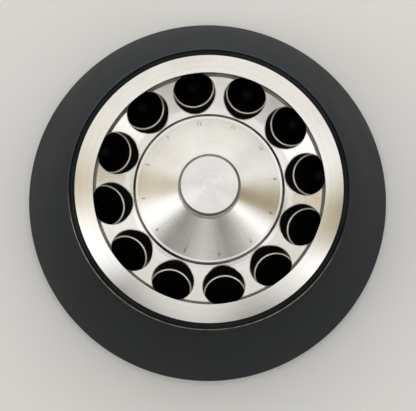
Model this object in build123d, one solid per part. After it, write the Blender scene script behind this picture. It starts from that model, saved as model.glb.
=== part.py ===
from build123d import *
from math import cos, radians, sin, tan
import os

# Fixed angle rotor, without its lid: a one-piece turned body with a ring of tilted tube cavities,
# and two drive pins pressed up into the floor of its drive hole.
# Millimetres. +Z is the spin axis, and the origin is the centre of the foot that the rotor stands on.

# ---- tubes that the rotor holds ------------------------------------------------------------------
tube_diameter = 25.0
tube_length = 89.0
tube_count = 12
tube_tilt = 25.0                  # degrees between a tube and the spin axis
tube_clearance = 0.2              # gap all round a tube in its cavity

# ---- cavities ------------------------------------------------------------------------------------
ledge_width = 0.8                 # step round the bore that carries the rim of a tube's cap
ledge_depth = 7.8                 # along the cavity, from the deck's land down to the ledge
first_cavity_angle = 8.6          # degrees from +X to the first cavity

# ---- hub, in the middle of the deck --------------------------------------------------------------
hub_foot_radius = 47.2            # lower edge of the hub's cone
hub_foot_rise = 1.95              # that edge above the deck's land
hub_rise = 12.5                   # from that edge up to the foot of the boss
hub_edge_break = 0.3
hub_groove_width = 1.5            # groove round the hub's foot
hub_groove_depth = 1.2            # below the deck's land
deck_rise_width = 2.4             # slope that lifts the deck's inner edge towards the groove
deck_rise = 0.6
groove_land = 0.95                # metal left between the groove and a cavity's mouth

# ---- boss on the hub -----------------------------------------------------------------------------
boss_radius = 19.6
boss_height = 16.8
boss_chamfer = 1.6
boss_foot_chamfer = 1.2

# ---- deck: a flat land round the hub, then a cone that climbs to the rim's wall -------------------
deck_land_width = 5.3             # from the groove to the foot of the cone
deck_slope = 18.9                 # degrees that the cone climbs outwards
wall_foot_slope = 1.75            # slope between the cone and the wall under the rim's inner edge

# ---- rim -----------------------------------------------------------------------------------------
recess_depth = 8.75               # from the rim's outer edge down to the deck's land
rim_width = 12.0
rim_crown = 3.7                   # the rim's inner edge stands this much above its outer edge
rim_edge_clearance = 0.35         # between the rim's inner edge and a counterbore that passes under it
rim_edge_break = 0.3

# ---- shoulder outside the rim --------------------------------------------------------------------
shoulder_drop = 1.2
shoulder_width = 2.4
shoulder_groove_width = 1.0       # V-shaped groove just inside the top of the flank
shoulder_groove_depth = 0.9
shoulder_lip_width = 0.8

# ---- flank and foot ------------------------------------------------------------------------------
flank_wall = 16.3                 # from the cavities' outermost reach out to the largest radius
flank_foot_height = 11.5          # where the flank's cone meets the upright side
foot_chamfer = 5.0
foot_width = 22.0                 # flat ring that the rotor stands on
dish_depth = 7.0                  # hollow under the body, inside the foot
dish_slope_run = 8.0              # radial length of the slope from the foot up into the dish
floor_thickness = 16.0            # from the dish up to the lowest point of a cavity

# ---- drive hole in the underside -----------------------------------------------------------------
drive_hub_radius = 34.0
drive_hub_inset = 2.0             # the drive hub's face stays this much above the foot
drive_hub_slope_run = 2.5
drive_bore_radius = 15.0
drive_bore_length = 33.5
drive_mouth_chamfer = 1.5
drive_relief = 0.8                # relief cut all round the end of the bore, level with the pins
socket_taper = 1.5                # radius lost up the tapered blind hole that takes the spindle's tip
socket_depth = 18.0
socket_point = 3.0                # depth of the drill point above the socket

# ---- drive pins ----------------------------------------------------------------------------------
pin_count = 2
pin_radius = 2.0
pin_length = 14.0
pin_stand_out = 4.5               # length of a pin that stands below the drive hole's floor
pin_bore_gap = 0.5                # from a pin's tip down to the end of the bore
pin_chamfer = 0.4
pin_hole_air = 0.5                # space left above a pin in its hole
pin_wall_gap = 1.9                # from a pin out to the wall of the relief
pin_socket_wall = 1.9             # metal between a pin and the socket

# ---- sizes that follow from those above ----------------------------------------------------------
tilt = radians(tube_tilt)
cavity_radius = tube_diameter / 2 + tube_clearance
counterbore_radius = cavity_radius + ledge_width
mouth_half_length = counterbore_radius / cos(tilt)     # of the oval that a counterbore cuts at any level

hub_groove_radius = hub_foot_radius + hub_groove_width
cavity_circle_radius = hub_groove_radius + groove_land + mouth_half_length

ball_distance = tube_length - cavity_radius            # down the cavity, from the land to its round end
ball_circle_radius = cavity_circle_radius + ball_distance * sin(tilt)
ball_height = dish_depth + floor_thickness + cavity_radius

deck_height = ball_height + ball_distance * cos(tilt)
rim_edge_height = deck_height + recess_depth
rim_crest_height = rim_edge_height + rim_crown
crest_mouth_radius = cavity_circle_radius - (rim_crest_height - deck_height) * tan(tilt)
rim_inner_radius = crest_mouth_radius + mouth_half_length + rim_edge_clearance
rim_outer_radius = rim_inner_radius + rim_width
deck_cone_radius = hub_groove_radius + deck_land_width
wall_foot_height = deck_height + (rim_inner_radius - deck_cone_radius) * tan(radians(deck_slope))

shoulder_height = rim_edge_height - shoulder_drop
shoulder_groove_inner = rim_outer_radius + shoulder_width
shoulder_groove_middle = shoulder_groove_inner + shoulder_groove_width / 2
shoulder_groove_outer = shoulder_groove_inner + shoulder_groove_width
flank_top_radius = shoulder_groove_outer + shoulder_lip_width
body_radius = ball_circle_radius + cavity_radius + flank_wall
foot_inner_radius = body_radius - foot_chamfer - foot_width

hub_foot_height = deck_height + hub_foot_rise
boss_foot_height = hub_foot_height + hub_rise
boss_top_height = boss_foot_height + boss_height

drive_bore_foot = drive_hub_inset + drive_mouth_chamfer
drive_bore_end = drive_bore_foot + drive_bore_length
drive_floor_height = drive_bore_end + pin_bore_gap + pin_stand_out
socket_end_height = drive_floor_height + socket_depth
relief_radius = drive_bore_radius + drive_relief
pin_circle_radius = relief_radius - pin_wall_gap - pin_radius
socket_radius = pin_circle_radius - pin_radius - pin_socket_wall
socket_end_radius = socket_radius - socket_taper
pin_hole_depth = pin_length - pin_stand_out + pin_hole_air


def turned(corners):
    """A solid turned about Z from corners given as (radius, height), some with the size of a chamfer."""
    points = [corner[:2] for corner in corners]
    face = make_face(Polyline(*points, close=True))
    for radius, height, *breaks in corners:
        for size in breaks:
            corner = face.vertices().sort_by_distance((radius, height))[0]
            face = chamfer(corner, size)
    return revolve(Plane.XZ * face, Axis.Z)


def body_blank():
    """The body as it leaves the lathe: boss, hub, groove, deck, rim, flank, foot and dish."""
    return turned(
        [
            (0, boss_top_height),
            (boss_radius, boss_top_height, boss_chamfer),
            (boss_radius, boss_foot_height, boss_foot_chamfer),
            (hub_foot_radius, hub_foot_height, hub_edge_break),
            (hub_foot_radius, deck_height - hub_groove_depth),
            (hub_groove_radius, deck_height - hub_groove_depth),
            (hub_groove_radius, deck_height + deck_rise),
            (hub_groove_radius + deck_rise_width, deck_height),
            (deck_cone_radius, deck_height),
            (rim_inner_radius, wall_foot_height, wall_foot_slope),
            (rim_inner_radius, rim_crest_height, rim_edge_break),
            (rim_outer_radius, rim_edge_height, rim_edge_break),
            (rim_outer_radius, shoulder_height),
            (shoulder_groove_inner, shoulder_height),
            (shoulder_groove_middle, shoulder_height - shoulder_groove_depth),
            (shoulder_groove_outer, shoulder_height),
            (flank_top_radius, shoulder_height),
            (body_radius, flank_foot_height),
            (body_radius, 0, foot_chamfer),
            (foot_inner_radius, 0),
            (foot_inner_radius - dish_slope_run, dish_depth),
            (drive_hub_radius + drive_hub_slope_run, dish_depth),
            (drive_hub_radius, drive_hub_inset),
            (drive_bore_radius, drive_hub_inset, drive_mouth_chamfer),
            (drive_bore_radius, drive_bore_end),
            (relief_radius, drive_bore_end),
            (relief_radius, drive_floor_height),
            (socket_radius, drive_floor_height),
            (socket_end_radius, socket_end_height),
            (0, socket_end_height + socket_point),
        ]
    )


def cavity_cutter():
    """The space of one cavity, upright, with its axis on Z and the height of the deck's land at zero."""
    reach = rim_crest_height - deck_height + 2 * counterbore_radius
    barrel = turned(
        [
            (0, reach),
            (counterbore_radius, reach),
            (counterbore_radius, -ledge_depth),
            (cavity_radius, -ledge_depth),
            (cavity_radius, -ball_distance),
            (0, -ball_distance),
        ]
    )
    return barrel + Pos(0, 0, -ball_distance) * Sphere(cavity_radius)


def around(count, radius, first_angle=0.0):
    """Places evenly spaced on a circle round the spin axis, each with its X axis pointing outwards."""
    return PolarLocations(radius, count, start_angle=first_angle)


def rotor_body():
    """One forging, turned all over, with its cavities bored and its pin holes drilled."""
    cavity = Pos(0, 0, deck_height) * Rot(0, -tube_tilt, 0) * cavity_cutter()
    places = around(tube_count, cavity_circle_radius, first_cavity_angle)
    body = body_blank() - [place * cavity for place in places]
    hole = Cylinder(pin_radius, pin_hole_depth, align=(Align.CENTER, Align.CENTER, Align.MIN))
    for place in around(pin_count, pin_circle_radius):
        body -= place * Pos(0, 0, drive_floor_height) * hole
    return body


def drive_pin():
    """A hardened dowel pin with its lower end at zero."""
    pin = Cylinder(pin_radius, pin_length, align=(Align.CENTER, Align.CENTER, Align.MIN))
    return chamfer(pin.edges().filter_by(GeomType.CIRCLE), pin_chamfer)


os.makedirs("parts", exist_ok=True)
export_step(rotor_body(), "parts/rotor_body.step")
for number, place in enumerate(around(pin_count, pin_circle_radius), start=1):
    pin = place * Pos(0, 0, drive_floor_height - pin_stand_out) * drive_pin()
    export_step(pin, f"parts/drive_pin_{number}.step")
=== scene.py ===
import math

import bmesh
import bpy
from mathutils import Matrix, Vector


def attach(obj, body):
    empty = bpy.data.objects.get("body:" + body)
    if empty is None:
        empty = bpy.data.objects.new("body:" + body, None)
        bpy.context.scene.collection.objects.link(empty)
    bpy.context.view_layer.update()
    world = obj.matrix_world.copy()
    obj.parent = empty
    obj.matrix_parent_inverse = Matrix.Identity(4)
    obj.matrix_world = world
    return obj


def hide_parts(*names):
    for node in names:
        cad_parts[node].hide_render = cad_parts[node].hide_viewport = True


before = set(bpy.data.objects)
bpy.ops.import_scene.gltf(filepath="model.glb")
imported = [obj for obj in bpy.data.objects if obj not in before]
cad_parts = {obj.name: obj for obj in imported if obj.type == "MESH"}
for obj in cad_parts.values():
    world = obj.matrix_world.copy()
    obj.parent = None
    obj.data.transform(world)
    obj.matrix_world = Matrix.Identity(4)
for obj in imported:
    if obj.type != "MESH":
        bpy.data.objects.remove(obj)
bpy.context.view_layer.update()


# ---- Rotor body: outline ---------------------------------------------------------------------------
# The body is one titanium forging, turned all over on a lathe. Its outline is drawn here as half a
# section, from the boss down over the deck, rim and flank to the foot, and in under to the socket.
# Sizes are in millimetres, and heights are measured from the foot.

MM = 0.001

# Finishes, as the numbers that the points of an outline carry. The sixth and seventh are dark painted
# shade, and the eighth is polished metal with a painted highlight.
BARE, PAINT, COATING, LEDGE, GOLD_CORNER, GROOVE, PAINTED_SHADE, POLISHED_AND_HIGHLIT = range(8)

BOSS_RADIUS, BOSS_CHAMFER = 19.6, 1.6
BOSS_TOP, BOSS_FOOT = 136.101, 119.301
HUB_RADIUS, HUB_FOOT = 47.2, 106.801
CONE_TOP, CONE_EDGE = 21.1, 45.7               # radii between which the hub's cone runs
CONE_TOP_HEIGHT, CONE_EDGE_HEIGHT = BOSS_FOOT - 0.1, HUB_FOOT + 0.16

DECK = 104.851                                 # height of the deck's land
GROOVE_RADIUS, GROOVE_FLOOR = 48.7, DECK - 1.2
DECK_LIP = DECK + 0.6                          # the deck's inner edge, lifted towards the groove
LAND_INNER, LAND_OUTER = 51.1, 54.0
DECK_CONE_EDGE, DECK_CONE_EDGE_HEIGHT = 72.330, DECK + 6.276
WALL_RADIUS, WALL_FOOT = 73.986, DECK + 8.593  # the wall between the deck and the rim
RIM_RADIUS, RIM_CREST, RIM_EDGE = 85.986, 117.301, 113.601

SHOULDER = 112.401
V_GROOVE_RADIUS, V_GROOVE_HALF_WIDTH, V_GROOVE_DEPTH = 88.886, 0.5, 0.9
LIP_RADIUS, FLANK_TOP, CORNER_DROP = 89.84, 90.32, 0.37   # the flank's top corner, gold on part of the way round
BODY_RADIUS, FLANK_FOOT = 125.791, 11.5
FOOT_CHAMFER, FOOT_INNER = 5.0, 98.791
DISH_RADIUS, DISH = 90.791, 7.0                # the hollow under the body, and its height
DRIVE_HUB_RADIUS, DRIVE_HUB_FACE = 34.0, 2.0
DRIVE_HUB_SLOPE = 2.5
BORE_RADIUS, BORE_END, BORE_CHAMFER = 15.0, 37.0, 1.5
RELIEF_RADIUS, DRIVE_FLOOR = 15.8, 42.0
SOCKET_RADIUS, SOCKET_END_RADIUS, SOCKET_END, SOCKET_POINT = 8.0, 6.5, 60.0, 63.0

FINENESS = 15.0                                # degrees that one facet of a rounding takes up


def rounded(corners):
    """The points of a half section. A corner is (radius, height, finish of what follows, rounding)."""
    points = []
    last = len(corners) - 1
    for number, (radius, height, finish, rounding) in enumerate(corners):
        here = Vector((radius, height))
        if not rounding or number in (0, last):
            points.append((radius, height, finish))
            continue
        back = Vector(corners[number - 1][:2]) - here
        ahead = Vector(corners[number + 1][:2]) - here
        turn = math.pi - back.angle(ahead)
        reach = min(rounding * math.tan(turn / 2), 0.49 * back.length, 0.49 * ahead.length)
        true_rounding = reach / math.tan(turn / 2)
        start = here + back.normalized() * reach
        middle = here + (back.normalized() + ahead.normalized()).normalized() * (
            true_rounding / math.cos(turn / 2))
        first = math.atan2(start.y - middle.y, start.x - middle.x)
        end = here + ahead.normalized() * reach
        final = math.atan2(end.y - middle.y, end.x - middle.x)
        sweep = (final - first + math.pi) % (2 * math.pi) - math.pi
        steps = max(2, round(abs(math.degrees(sweep)) / FINENESS))
        for step in range(steps + 1):
            angle = first + sweep * step / steps
            points.append((middle.x + true_rounding * math.cos(angle),
                           middle.y + true_rounding * math.sin(angle), finish))
    return points


body_outline = rounded([
    # boss, with its chamfer darkened as painted shade, and its polished side lit by a painted
    # highlight
    (0.0, BOSS_TOP, BARE, 0),
    (BOSS_RADIUS - BOSS_CHAMFER, BOSS_TOP, PAINTED_SHADE, 0.4),
    (BOSS_RADIUS, BOSS_TOP - BOSS_CHAMFER, POLISHED_AND_HIGHLIT, 0.4),
    (BOSS_RADIUS, BOSS_FOOT + 0.6, BARE, 1.1),
    # hub cone, its turned edge, and the groove at its foot, darkened as painted shade
    (CONE_TOP, CONE_TOP_HEIGHT, BARE, 0.8),
    (CONE_EDGE, CONE_EDGE_HEIGHT, BARE, 0.5),
    (HUB_RADIUS, HUB_FOOT, BARE, 0.3),
    (HUB_RADIUS, HUB_FOOT - 0.5, GROOVE, 0),
    (HUB_RADIUS, GROOVE_FLOOR, GROOVE, 0.2),
    (GROOVE_RADIUS, GROOVE_FLOOR, GROOVE, 0.2),
    (GROOVE_RADIUS, DECK + 0.3, BARE, 0),
    # land, cone of the deck, and the slope and wall over it, darkened as painted shade
    (GROOVE_RADIUS, DECK_LIP, BARE, 0.2),
    (LAND_INNER, DECK, BARE, 0.8),
    (LAND_OUTER, DECK, BARE, 1.0),
    (DECK_CONE_EDGE, DECK_CONE_EDGE_HEIGHT, PAINTED_SHADE, 0.4),
    (WALL_RADIUS, WALL_FOOT, GROOVE, 0.4),
    # rim
    (WALL_RADIUS, RIM_CREST, BARE, 0.35),
    (RIM_RADIUS, RIM_EDGE, PAINT, 0.3),
    # painted shoulder with its V groove, and the flank's top corner, gold on part of the way round
    (RIM_RADIUS, SHOULDER, PAINT, 0.15),
    (V_GROOVE_RADIUS - V_GROOVE_HALF_WIDTH, SHOULDER, PAINT, 0.1),
    (V_GROOVE_RADIUS, SHOULDER - V_GROOVE_DEPTH, PAINT, 0.1),
    (V_GROOVE_RADIUS + V_GROOVE_HALF_WIDTH, SHOULDER, PAINT, 0.1),
    (LIP_RADIUS, SHOULDER, GOLD_CORNER, 0.12),
    (FLANK_TOP, SHOULDER - CORNER_DROP, PAINT, 0.12),
    # flank, upright side and foot
    (BODY_RADIUS, FLANK_FOOT, PAINT, 6.0),
    (BODY_RADIUS, FOOT_CHAMFER, PAINT, 2.0),
    (BODY_RADIUS - FOOT_CHAMFER, 0.0, PAINT, 0.8),
    # dish under the body
    (FOOT_INNER, 0.0, PAINT, 0.8),
    (DISH_RADIUS, DISH, PAINT, 3.0),
    (DRIVE_HUB_RADIUS + DRIVE_HUB_SLOPE, DISH, PAINT, 2.0),
    # face of the drive hub, drive hole, relief and tapered socket
    (DRIVE_HUB_RADIUS, DRIVE_HUB_FACE, BARE, 0.6),
    (BORE_RADIUS + BORE_CHAMFER, DRIVE_HUB_FACE, BARE, 0.3),
    (BORE_RADIUS, DRIVE_HUB_FACE + BORE_CHAMFER, BARE, 0.3),
    (BORE_RADIUS, BORE_END, BARE, 0.1),
    (RELIEF_RADIUS, BORE_END, BARE, 0.1),
    (RELIEF_RADIUS, DRIVE_FLOOR, BARE, 0.3),
    (SOCKET_RADIUS, DRIVE_FLOOR, BARE, 0.2),
    (SOCKET_END_RADIUS, SOCKET_END, BARE, 0.2),
    (0.0, SOCKET_POINT, BARE, 0),
])


# ---- Rotor body: outline of a cavity ---------------------------------------------------------------
# Twelve cavities each hold a tube of 25 mm, leaning in at the top. One is drilled and bored with a
# round end, then counterbored, which leaves a ledge for the tube's cap. Here its axis is upright,
# and the height of the deck's land is zero.

TUBE_TILT = math.radians(25.0)
CAVITY_COUNT = 12
FIRST_CAVITY = math.radians(8.6)
CAVITY_CIRCLE = 64.546
CAVITY_RADIUS = 12.7
COUNTERBORE_RADIUS, COUNTERBORE_REACH = 13.5, 30.0
LEDGE_DEPTH, LEDGE_FALL, LEDGE_WIDTH = 7.8, 0.55, 0.62    # the cap's seat slopes in to the bore
BALL_DISTANCE = 76.3
BALL_STEPS = 14

cavity_outline = rounded([
    (0.0, COUNTERBORE_REACH, COATING, 0),
    (COUNTERBORE_RADIUS, COUNTERBORE_REACH, COATING, 0),
    (COUNTERBORE_RADIUS, -LEDGE_DEPTH, LEDGE, 0.1),
    (CAVITY_RADIUS + LEDGE_WIDTH, -LEDGE_DEPTH, LEDGE, 0.1),
    (CAVITY_RADIUS, -LEDGE_DEPTH - LEDGE_FALL, COATING, 0.1),
    (CAVITY_RADIUS, -BALL_DISTANCE, COATING, 0),
])
for step in range(1, BALL_STEPS + 1):
    angle = math.pi / 2 * step / BALL_STEPS
    cavity_outline.append((CAVITY_RADIUS * math.cos(angle),
                           -BALL_DISTANCE - CAVITY_RADIUS * math.sin(angle), COATING))


def outline_object(name, points):
    """An outline as a chain of edges, each point carrying the number of its finish."""
    mesh = bpy.data.meshes.new(name)
    mesh.from_pydata([(r * MM, 0.0, z * MM) for r, z, _ in points],
                     [(i, i + 1) for i in range(len(points) - 1)], [])
    finish = mesh.attributes.new("finish", "INT", "POINT")
    finish.data.foreach_set("value", [f for _, _, f in points])
    made = bpy.data.objects.new(name, mesh)
    bpy.context.scene.collection.objects.link(made)
    return made


# ---- Rotor body: turning and boring ----------------------------------------------------------------
# The outline is turned into a solid, and the same cut is made twelve times round it: a tilted,
# counterbored, round-ended cavity. The cavity tool is a turned shape too.

BODY_FACETS, CAVITY_FACETS = 288, 96
POLE_GAP = 1e-7                                # metres within which points on the spin axis are one


def new_tree(name, inputs):
    """A geometry tree with named inputs, given as (name, socket kind, value)."""
    tree = bpy.data.node_groups.new(name, "GeometryNodeTree")
    for socket_name, kind, value in inputs:
        socket = tree.interface.new_socket(socket_name, in_out="INPUT", socket_type=kind)
        if value is not None:
            socket.default_value = value
    tree.interface.new_socket("Geometry", in_out="OUTPUT", socket_type="NodeSocketGeometry")
    return tree


def add(tree, kind, *sources, **settings):
    """A node of that kind, fed in order by outputs or plain values. None leaves an input alone."""
    node = tree.nodes.new(kind)
    for key, value in settings.items():
        setattr(node, key, value)
    for number, source in enumerate(sources):
        if source is None:
            continue
        if isinstance(source, bpy.types.NodeSocket):
            tree.links.new(source, node.inputs[number])
        else:
            node.inputs[number].default_value = source
    return node


def math_node(tree, operation, a, b=None):
    return add(tree, "ShaderNodeMath", a, b, operation=operation).outputs[0]


def row_of(tree, index, row_length):
    """The row that an index falls in, on a grid numbered row by row."""
    middle = math_node(tree, "ADD", index, 0.5)
    return math_node(tree, "FLOOR", math_node(tree, "DIVIDE", middle, row_length))


def taken_from(tree, outline, value, row, data_type):
    """A value read at one point of the outline."""
    node = add(tree, "GeometryNodeSampleIndex", outline, None, row, data_type=data_type)
    tree.links.new(value, node.inputs["Value"])
    return node.outputs[0]


def turning_tree():
    """Turns an outline of edges about the Z axis, and keeps each band's finish on its faces."""
    tree = new_tree("turned about the spin axis", [
        ("Outline", "NodeSocketGeometry", None), ("Facets", "NodeSocketInt", CAVITY_FACETS)])
    given = tree.nodes.new("NodeGroupInput")
    outline, facets = given.outputs["Outline"], given.outputs["Facets"]
    count = add(tree, "GeometryNodeAttributeDomainSize", outline).outputs["Point Count"]
    around = math_node(tree, "ADD", facets, 1.0)
    grid = add(tree, "GeometryNodeMeshGrid", 1.0, 1.0, count, around).outputs["Mesh"]
    index = tree.nodes.new("GeometryNodeInputIndex").outputs[0]

    row = row_of(tree, index, around)
    column = math_node(tree, "SUBTRACT", index, math_node(tree, "MULTIPLY", row, around))
    angle = math_node(tree, "MULTIPLY", math_node(tree, "DIVIDE", column, facets), 2 * math.pi)
    place = tree.nodes.new("GeometryNodeInputPosition").outputs[0]
    point = taken_from(tree, outline, place, row, "FLOAT_VECTOR")
    drawn = add(tree, "ShaderNodeSeparateXYZ", point)
    x = math_node(tree, "MULTIPLY", drawn.outputs["X"], math_node(tree, "COSINE", angle))
    y = math_node(tree, "MULTIPLY", drawn.outputs["X"], math_node(tree, "SINE", angle))
    turned = add(tree, "ShaderNodeCombineXYZ", x, y, drawn.outputs["Z"]).outputs[0]
    shaped = add(tree, "GeometryNodeSetPosition", grid, None, turned).outputs[0]

    band = row_of(tree, index, facets)
    finish = add(tree, "GeometryNodeInputNamedAttribute", "finish", data_type="INT").outputs[0]
    kept = taken_from(tree, outline, finish, band, "INT")
    marked = add(tree, "GeometryNodeStoreNamedAttribute", shaped, None, "finish", kept,
                 data_type="INT", domain="FACE").outputs[0]
    closed = add(tree, "GeometryNodeMergeByDistance", marked, None, POLE_GAP).outputs[0]
    output = tree.nodes.new("NodeGroupOutput")
    tree.links.new(closed, output.inputs[0])
    return tree


def cut(tree, solid, tools):
    return add(tree, "GeometryNodeMeshBoolean", solid, tools, operation="DIFFERENCE",
               solver="EXACT").outputs["Mesh"]


def boring_tree(turning, finishes):
    """The turned body with a ring of tilted cavities cut into it, its numbers and its finishes."""
    tree = new_tree("rotor body", [
        ("Outline", "NodeSocketGeometry", None), ("Facets", "NodeSocketInt", BODY_FACETS),
        ("Cavity outline", "NodeSocketObject", None),
        ("Cavity facets", "NodeSocketInt", CAVITY_FACETS),
        ("Cavities", "NodeSocketInt", CAVITY_COUNT), ("First cavity", "NodeSocketFloat", 0.0),
        ("Cavity circle", "NodeSocketFloat", 0.0), ("Deck height", "NodeSocketFloat", 0.0),
        ("Tilt", "NodeSocketFloat", 0.0), ("Numbers", "NodeSocketObject", None)])
    given = tree.nodes.new("NodeGroupInput")
    blank = add(tree, "GeometryNodeGroup", given.outputs["Outline"], given.outputs["Facets"],
                node_tree=turning).outputs[0]
    drawn = add(tree, "GeometryNodeObjectInfo", given.outputs["Cavity outline"]).outputs["Geometry"]
    tool = add(tree, "GeometryNodeGroup", drawn, given.outputs["Cavity facets"],
               node_tree=turning).outputs[0]

    index = tree.nodes.new("GeometryNodeInputIndex").outputs[0]
    turn = math_node(tree, "DIVIDE", math_node(tree, "MULTIPLY", index, 2 * math.pi),
                     given.outputs["Cavities"])
    angle = math_node(tree, "ADD", turn, given.outputs["First cavity"])
    x = math_node(tree, "MULTIPLY", given.outputs["Cavity circle"], math_node(tree, "COSINE", angle))
    y = math_node(tree, "MULTIPLY", given.outputs["Cavity circle"], math_node(tree, "SINE", angle))
    place = add(tree, "ShaderNodeCombineXYZ", x, y, given.outputs["Deck height"]).outputs[0]
    points = add(tree, "GeometryNodePoints", given.outputs["Cavities"], place).outputs[0]
    lean = math_node(tree, "MULTIPLY", given.outputs["Tilt"], -1.0)
    leaning = add(tree, "ShaderNodeCombineXYZ", 0.0, lean, angle).outputs[0]
    placed = add(tree, "GeometryNodeInstanceOnPoints", points, None, tool, None, None,
                 leaning).outputs[0]
    bored = cut(tree, blank, add(tree, "GeometryNodeRealizeInstances", placed).outputs[0])
    strokes = add(tree, "GeometryNodeObjectInfo", given.outputs["Numbers"]).outputs["Geometry"]
    engraved = cut(tree, bored, strokes)

    finish = add(tree, "GeometryNodeInputNamedAttribute", "finish", data_type="INT").outputs[0]
    dressed = add(tree, "GeometryNodeRealizeInstances", engraved).outputs[0]
    for number, material in enumerate(finishes):
        chosen = add(tree, "FunctionNodeCompare", None, None, finish, number, data_type="INT",
                     operation="EQUAL").outputs[0]
        dressed = add(tree, "GeometryNodeSetMaterial", dressed, chosen, material).outputs[0]
    output = tree.nodes.new("NodeGroupOutput")
    tree.links.new(dressed, output.inputs[0])
    return tree


# ---- Rotor body: finishes --------------------------------------------------------------------------
# The rim, deck, hub and boss are bare titanium, left as turned, so they shine along the tool's
# path. The outside is painted satin black, and the cavities have a thin black coating.

def new_material(name):
    material = bpy.data.materials.new(name)
    material.use_nodes = True
    shader = material.node_tree.nodes["Principled BSDF"]
    return material, material.node_tree, shader


def own_place(tree):
    return tree.nodes.new("ShaderNodeTexCoord").outputs["Object"]


def along_the_cut(tree, place):
    """Distance from the spin axis and height, which stay the same all along a turned mark."""
    flat = add(tree, "ShaderNodeVectorMath", place, (1.0, 1.0, 0.0), operation="MULTIPLY").outputs[0]
    distance = add(tree, "ShaderNodeVectorMath", flat, operation="LENGTH").outputs["Value"]
    height = add(tree, "ShaderNodeSeparateXYZ", place).outputs["Z"]
    return add(tree, "ShaderNodeCombineXYZ", distance, 0.0, height).outputs[0]


def share_of_turn(tree, direction):
    """How far round the spin axis a direction lies, from 0 to 1 anticlockwise from +X."""
    parts = add(tree, "ShaderNodeSeparateXYZ", direction)
    angle = math_node(tree, "ARCTAN2", parts.outputs["Y"], parts.outputs["X"])
    turns = math_node(tree, "DIVIDE", angle, 2 * math.pi)
    return math_node(tree, "FRACT", math_node(tree, "ADD", turns, 1.0))


def clouds(tree, place, per_metre, detail, grit=0.6):
    return add(tree, "ShaderNodeTexNoise", place, None, per_metre, detail, grit).outputs["Fac"]


def ramp(tree, source, stops):
    """A colour ramp with stops given as (position, colour)."""
    node = add(tree, "ShaderNodeValToRGB", source)
    elements = node.color_ramp.elements
    while len(elements) < len(stops):
        elements.new(0.5)
    for element, (position, colour) in zip(elements, stops):
        element.position = position
        element.color = (*colour, 1.0)
    return node.outputs["Color"]


def grey(value):
    return (value, value, value)


def mixed(tree, amount, first, second, blend_type="MIX"):
    return add(tree, "ShaderNodeMix", amount, None, None, None, None, None, first, second,
               data_type="RGBA", blend_type=blend_type).outputs[2]


def raised(tree, shader, pattern, strength, depth):
    """Lifts the surface by a hair where the pattern is light."""
    bump = tree.nodes.new("ShaderNodeBump")
    bump.inputs["Strength"].default_value = strength
    bump.inputs["Distance"].default_value = depth
    tree.links.new(pattern, bump.inputs["Height"])
    tree.links.new(bump.outputs[0], shader.inputs["Normal"])


def turned_titanium():
    """Bare metal with fine turning marks, dulled a little in patches by handling."""
    material, tree, shader = new_material("turned titanium")
    place = own_place(tree)
    cut_line = along_the_cut(tree, place)
    marks = clouds(tree, cut_line, 2600.0, 4.0)
    passes = clouds(tree, cut_line, 420.0, 3.0, 0.5)
    patches = clouds(tree, place, 38.0, 4.0, 0.55)
    tone = ramp(tree, passes, [(0.35, (0.80, 0.785, 0.76)), (0.6, (0.83, 0.82, 0.80))])
    handled = ramp(tree, patches, [(0.3, grey(0.93)), (0.7, grey(1.0))])
    tree.links.new(mixed(tree, 1.0, tone, handled, "MULTIPLY"), shader.inputs["Base Color"])
    rough = ramp(tree, patches, [(0.3, grey(0.23)), (0.7, grey(0.31))])
    tree.links.new(rough, shader.inputs["Roughness"])
    shader.inputs["Metallic"].default_value = 1.0
    shader.inputs["Anisotropic"].default_value = 0.85
    shader.inputs["Anisotropic Rotation"].default_value = 0.25
    tangent = tree.nodes.new("ShaderNodeTangent")
    tangent.direction_type, tangent.axis = "RADIAL", "Z"
    tree.links.new(tangent.outputs[0], shader.inputs["Tangent"])
    raised(tree, shader, marks, 0.012, 0.2 * MM)
    return material


def black_paint():
    """Satin paint with soft clouds, faint marks from wiping round the rotor, and a fine peel."""
    material, tree, shader = new_material("satin black paint")
    place = own_place(tree)
    cloud = clouds(tree, place, 13.0, 6.0, 0.65)
    wiped = clouds(tree, along_the_cut(tree, place), 260.0, 4.0)
    marks = math_node(tree, "ADD", math_node(tree, "MULTIPLY", cloud, 0.8),
                      math_node(tree, "MULTIPLY", wiped, 0.2))
    tone = ramp(tree, marks, [(0.36, (0.007, 0.0087, 0.0108)), (0.64, (0.022, 0.0255, 0.030))])
    tree.links.new(tone, shader.inputs["Base Color"])
    rough = ramp(tree, marks, [(0.36, grey(0.40)), (0.64, grey(0.56))])
    tree.links.new(rough, shader.inputs["Roughness"])
    shader.inputs["Specular IOR Level"].default_value = 0.035
    raised(tree, shader, clouds(tree, place, 900.0, 3.0, 0.5), 0.12, 0.1 * MM)
    return material


def clouded(name, per_metre, detail, tones, metallic, roughness):
    """A finish that drifts between two tones in soft clouds."""
    material, tree, shader = new_material(name)
    cloud = clouds(tree, own_place(tree), per_metre, detail)
    tree.links.new(ramp(tree, cloud, tones), shader.inputs["Base Color"])
    shader.inputs["Metallic"].default_value = metallic
    shader.inputs["Roughness"].default_value = roughness
    return material, tree, shader, cloud


def cavity_coating():
    material, _, shader, _ = clouded("black cavity coating", 60.0, 3.0, [
        (0.3, (0.006, 0.0055, 0.0045)), (0.7, (0.014, 0.013, 0.010))], 0.0, 0.22)
    shader.inputs["Specular IOR Level"].default_value = 1.0
    return material


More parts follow.
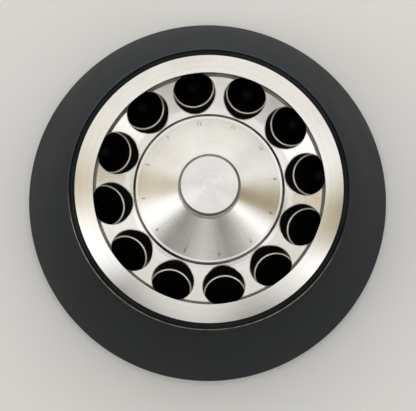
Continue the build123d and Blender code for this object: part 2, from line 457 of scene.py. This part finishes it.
def worn_corner():
    """Paint along the corner, with gold metal in its place from about 185 to 340 degrees round from
    +X.
    """
    material, tree, shader = new_material("gold metal on part of the painted corner")
    place = own_place(tree)
    where = ramp(tree, share_of_turn(tree, place), [
        (0.0, grey(0.0)), (0.5, grey(0.0)), (0.54, grey(0.7)), (0.62, grey(0.9)), (0.68, grey(1.0)),
        (0.76, grey(0.7)), (0.82, grey(1.0)), (0.90, grey(0.6)), (0.95, grey(0.0))])
    grit = clouds(tree, place, 220.0, 4.0, 0.7)
    grain = ramp(tree, grit, [(0.42, grey(0.35)), (0.58, grey(1.0))])
    amount = math_node(tree, "MULTIPLY", where, grain)
    painted, rubbed = (0.017, 0.019, 0.022, 1.0), (0.55, 0.46, 0.28, 1.0)
    tree.links.new(mixed(tree, amount, painted, rubbed), shader.inputs["Base Color"])
    tree.links.new(amount, shader.inputs["Metallic"])
    shader.inputs["Roughness"].default_value = 0.42
    return material


# The order is that of the finishes' numbers, BARE to POLISHED_AND_HIGHLIT.
body_materials = [
    turned_titanium(),
    black_paint(),
    cavity_coating(),
    clouded("rubbed ledge metal", 300.0, 3.0,
            [(0.3, (0.90, 0.86, 0.70)), (0.7, (0.97, 0.95, 0.84))], 0.9, 0.36)[0],
    worn_corner(),
    # Painted shade: a near-black tone that stands in for the shade and dark reflection in the groove
    # at the hub's foot and on the wall under the rim's inner edge.
    clouded("metal with deep painted shade", 32.0, 4.0,
            [(0.42, (0.015, 0.015, 0.018)), (0.62, (0.22, 0.21, 0.19))], 0.8, 0.4)[0],
    # Painted shade: a dull dark tone that stands in for the dark reflection on the slope under the rim
    # and on the boss's chamfer, and for the shade inside the engraved figures.
    clouded("metal darkened with painted shade", 45.0, 4.0,
            [(0.35, (0.14, 0.13, 0.11)), (0.65, (0.30, 0.285, 0.26))], 0.85, 0.42)[0],
    # Polished metal, partly a painted highlight: its tone is brighter than the turned faces' to stand
    # in for the highlights on the boss's side and on the cavities' broken mouth edges.
    clouded("polished metal with painted highlight", 500.0, 3.0,
            [(0.3, (0.88, 0.87, 0.86)), (0.6, (0.97, 0.97, 0.96))], 0.8, 0.35)[0],
]


# ---- Cavity numbers --------------------------------------------------------------------------------
# Each cavity has its number engraved on the hub's cone, upright towards the boss. They are cut as
# plain block figures 0.3 mm deep, and count up anticlockwise.

FIRST_NUMBER = 9                               # the number of the first cavity round from +X
NUMBER_CIRCLE, NUMBER_SIZE, NUMBER_DEPTH = 42.4, 3.6, 0.3
FIGURE_HALF_THICKNESS = 0.5                    # of the cutters, which stand out above the cone
FIGURE_WELD = 1e-6                             # metres within which points of a figure are one
CONE_SLOPE = math.atan2(CONE_TOP_HEIGHT - CONE_EDGE_HEIGHT, CONE_EDGE - CONE_TOP)

figures = bmesh.new()
for cavity in range(CAVITY_COUNT):
    number = (FIRST_NUMBER + cavity - 1) % CAVITY_COUNT + 1
    angle = FIRST_CAVITY + 2 * math.pi * cavity / CAVITY_COUNT
    text = bpy.data.curves.new("figure", "FONT")
    text.body, text.size = str(number), NUMBER_SIZE * MM
    text.align_x, text.align_y = "CENTER", "CENTER"
    text.extrude, text.resolution_u = FIGURE_HALF_THICKNESS * MM, 2
    written = bpy.data.objects.new("figure", text)
    solid = bpy.data.meshes.new_from_object(written)
    cone_here = CONE_EDGE_HEIGHT + (CONE_EDGE - NUMBER_CIRCLE) * math.tan(CONE_SLOPE)
    height = cone_here + FIGURE_HALF_THICKNESS - NUMBER_DEPTH
    lying = Matrix.Rotation(-CONE_SLOPE, 4, "X")
    facing = Matrix.Rotation(angle - math.pi / 2, 4, "Z")
    solid.transform(facing @ Matrix.Translation((0, NUMBER_CIRCLE * MM, height * MM)) @ lying)
    figures.from_mesh(solid)
    bpy.data.objects.remove(written)
bmesh.ops.remove_doubles(figures, verts=figures.verts, dist=FIGURE_WELD)
bmesh.ops.recalc_face_normals(figures, faces=figures.faces)
figure_mesh = bpy.data.meshes.new("figures")
figures.to_mesh(figure_mesh)
figures.free()
# The cut faces take the dark finish, painted shade inside the engraving.
finish_of_figures = figure_mesh.attributes.new("finish", "INT", "FACE")
finish_of_figures.data.foreach_set("value", [PAINTED_SHADE] * len(figure_mesh.polygons))
figure_tool = bpy.data.objects.new("figures", figure_mesh)
bpy.context.scene.collection.objects.link(figure_tool)


# ---- Rotor body: the finished piece ----------------------------------------------------------------
# The tree runs once and its result is kept as a plain mesh. The mouth of each cavity then gets the
# small broken edge that a deburring tool leaves, in polished metal that is partly a painted highlight.

MOUTH_BREAK = 0.4 * MM
WELD, SLIVER = 2e-6, 1e-6                      # metres: points so near are one, edges so short go
SHARP_EDGE = math.radians(22)


def plain_mesh(outline, tree, values, name):
    """Runs a tree on an outline and keeps the result as a plain object."""
    modifier = outline.modifiers.new(tree.name, "NODES")
    modifier.node_group = tree
    for socket in tree.interface.items_tree:
        if socket.item_type == "SOCKET" and socket.in_out == "INPUT" and socket.name in values:
            modifier[socket.identifier] = values[socket.name]
    bpy.context.view_layer.update()
    mesh = bpy.data.meshes.new_from_object(
        outline.evaluated_get(bpy.context.evaluated_depsgraph_get()))
    outline.modifiers.remove(modifier)
    bpy.data.objects.remove(outline)
    mesh.name = name
    made = bpy.data.objects.new(name, mesh)
    bpy.context.scene.collection.objects.link(made)
    return made


def welded(mesh):
    """Joins points that lie on each other and takes out what then has no area."""
    bmesh.ops.remove_doubles(mesh, verts=mesh.verts, dist=WELD)
    bmesh.ops.dissolve_degenerate(mesh, dist=SLIVER, edges=mesh.edges)


cavity_tool = outline_object("cavity outline", cavity_outline)
boring = boring_tree(turning_tree(), body_materials)
body = plain_mesh(outline_object("body outline", body_outline), boring, {
    "Facets": BODY_FACETS, "Cavity outline": cavity_tool, "Cavity facets": CAVITY_FACETS,
    "Cavities": CAVITY_COUNT, "First cavity": FIRST_CAVITY, "Cavity circle": CAVITY_CIRCLE * MM,
    "Deck height": DECK * MM, "Tilt": TUBE_TILT, "Numbers": figure_tool}, "rotor_forging")
bpy.data.objects.remove(cavity_tool)
bpy.data.objects.remove(figure_tool)

body.data.materials.pop(index=0)               # the tree leaves an empty slot in front of the finishes
shell = bmesh.new()
shell.from_mesh(body.data)
welded(shell)
if shell.calc_volume(signed=True) < 0:
    bmesh.ops.reverse_faces(shell, faces=shell.faces)
mouths = [edge for edge in shell.edges if len(edge.link_faces) == 2
          and {face.material_index for face in edge.link_faces}
          in ({BARE, COATING}, {PAINTED_SHADE, COATING})]
bmesh.ops.bevel(shell, geom=mouths, offset=MOUTH_BREAK, offset_type="OFFSET", segments=1,
                profile=0.5, affect="EDGES", clamp_overlap=False, loop_slide=False,
                material=POLISHED_AND_HIGHLIT)
welded(shell)
shell.to_mesh(body.data)
shell.free()
for face in body.data.polygons:
    face.use_smooth = True
body.data.set_sharp_from_angle(angle=SHARP_EDGE)
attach(body, "root")
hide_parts("rotor_body")


# ---- Drive pins ------------------------------------------------------------------------------------
# Two hardened dowel pins, ground all over, pressed up into the floor of the drive hole. Their lower
# ends stand out of it and turn the rotor with its spindle.

pin_steel, pin_tree, pin_shader, pin_cloud = clouded("ground pin steel", 1500.0, 3.0, [
    (0.3, grey(0.48)), (0.7, grey(0.6))], 1.0, 0.27)
pin_rough = ramp(pin_tree, pin_cloud, [(0.3, grey(0.22)), (0.7, grey(0.32))])
pin_tree.links.new(pin_rough, pin_shader.inputs["Roughness"])
for node in ("drive_pin_1", "drive_pin_2"):
    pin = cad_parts[node]
    pin.data.materials.clear()
    pin.data.materials.append(pin_steel)


# ---- Floor -----------------------------------------------------------------------------------------
# The rotor stands on a plain pale floor, wide enough to have no edge in sight. The floor takes the
# rotor's shadow and is not part of it.

FLOOR_REACH = 6.0

floor_mesh = bpy.data.meshes.new("floor")
floor_mesh.from_pydata(
    [(-FLOOR_REACH, -FLOOR_REACH, 0), (FLOOR_REACH, -FLOOR_REACH, 0),
     (FLOOR_REACH, FLOOR_REACH, 0), (-FLOOR_REACH, FLOOR_REACH, 0)], [], [(0, 1, 2, 3)])
floor = bpy.data.objects.new("floor", floor_mesh)
bpy.context.scene.collection.objects.link(floor)
floor_material, _, floor_shader = new_material("pale floor")
floor_shader.inputs["Base Color"].default_value = (0.80, 0.80, 0.80, 1.0)
floor_shader.inputs["Roughness"].default_value = 0.8
floor.data.materials.append(floor_material)


# ---- Light -----------------------------------------------------------------------------------------
# Soft light comes from all round. Soft boxes stand at about 15, 150, 200 and 330 degrees from +X,
# and it is darker between them on the near side. A small box hangs high up at 198 degrees.

world = bpy.data.worlds.new("studio")
bpy.context.scene.world = world
world.use_nodes = True
sky = world.node_tree
toward = sky.nodes.new("ShaderNodeTexCoord").outputs["Generated"]
steepness = add(sky, "ShaderNodeSeparateXYZ", toward).outputs["Z"]
bearing = share_of_turn(sky, toward)
WARM_GREEN, WARM_BLUE = 0.07, 0.21             # share of green and blue that one step of warmth takes


def ring_of_light(stops):
    """Light from all round at one height, given as (degrees, level, warmth)."""
    return ramp(sky, bearing, [
        (degrees / 360, (level, level * (1 - WARM_GREEN * warmth), level * (1 - WARM_BLUE * warmth)))
        for degrees, level, warmth in stops])


room = ring_of_light([
    (0, 0.40, 2.8), (10, 0.75, 1.2), (20, 1.1, 0.3), (32, 0.98, 0.4), (45, 0.78, 0.8),
    (135, 0.78, 0.8), (150, 1.0, 0.7), (165, 0.60, 2.4), (178, 0.70, 2.0), (190, 1.6, 0),
    (206, 1.6, 0), (218, 0.35, 0.8), (228, 0.16, 1.0), (244, 0.20, 0.8), (262, 0.62, 0.6),
    (276, 0.50, 0.7), (288, 0.14, 1.0), (301, 0.28, 0.8), (318, 0.85, 0.5), (328, 1.8, 0),
    (336, 1.4, 0), (347, 0.40, 2.8), (359.9, 0.40, 2.8)])
upper = ring_of_light([
    (0, 0.60, 2.2), (15, 1.32, 0), (60, 1.12, 0.2), (105, 1.22, 0), (135, 1.05, 0.5),
    (152, 1.08, 0.5), (166, 0.72, 2.0), (180, 1.1, 1.0), (200, 1.6, 0), (212, 1.3, 0),
    (225, 0.45, 0.3), (241, 1.0, 0.3), (268, 0.98, 0.2), (290, 0.66, 0.7), (302, 0.66, 0.3),
    (330, 1.6, 0), (345, 0.66, 2.0), (359.9, 0.60, 2.2)])
skirting = ring_of_light([
    (0, 0.3, 0), (30, 1.0, 0), (60, 2.0, 0), (90, 1.9, 0), (130, 2.0, 0), (160, 1.2, 0),
    (200, 0.6, 0), (230, 0.3, 0), (265, 0.06, 0), (300, 0.4, 0), (359.9, 0.3, 0)])
ceiling = ring_of_light([
    (0, 0.90, 0), (14, 1.15, 0), (30, 0.92, 0), (182, 0.92, 0), (198, 1.9, 0),
    (214, 0.92, 0), (359.9, 0.90, 0)])


def from_to(start, end):
    """0 below the first steepness and 1 above the second, where 1 is straight up."""
    return ramp(sky, steepness, [(start, grey(0.0)), (end, grey(1.0))])


walls = mixed(sky, from_to(0.30, 0.50), skirting, room)
round_about = mixed(sky, from_to(0.70, 0.82), walls, upper)
whole = mixed(sky, from_to(0.90, 0.98), round_about, ceiling)
background = sky.nodes["Background"]
sky.links.new(whole, background.inputs["Color"])
background.inputs["Strength"].default_value = 1.0


# ---- Camera ----------------------------------------------------------------------------------------
# It looks down from almost straight above, leaning a little towards the near side. Its place is
# given from the middle of the rim's edge, in millimetres along its own right, up and back.

LEAN, ROLL = math.radians(4.625), math.radians(0.506)
CAMERA_RIGHT, CAMERA_UP, CAMERA_BACK = -0.74, -11.10, 972.0
SENSOR_WIDTH, FOCAL_LENGTH, PICTURE_WIDTH = 36.0, 1524.7, 416.0  # the last two in pixels

right = Vector((math.cos(ROLL), 0.0, math.sin(ROLL)))
up = Vector((-math.sin(LEAN) * math.sin(ROLL), math.cos(LEAN), math.sin(LEAN) * math.cos(ROLL)))
back = right.cross(up)
camera_data = bpy.data.cameras.new("camera")
camera_data.sensor_width = SENSOR_WIDTH
camera_data.lens = FOCAL_LENGTH * SENSOR_WIDTH / PICTURE_WIDTH
camera = bpy.data.objects.new("camera", camera_data)
aim = Matrix((right, up, back)).transposed().to_4x4()
rim_middle = Vector((0, 0, RIM_EDGE))
camera.matrix_world = Matrix.Translation(
    (rim_middle + CAMERA_RIGHT * right + CAMERA_UP * up + CAMERA_BACK * back) * MM) @ aim
bpy.context.scene.collection.objects.link(camera)
bpy.context.scene.camera = camera
bpy.context.scene.view_settings.view_transform = "Standard"
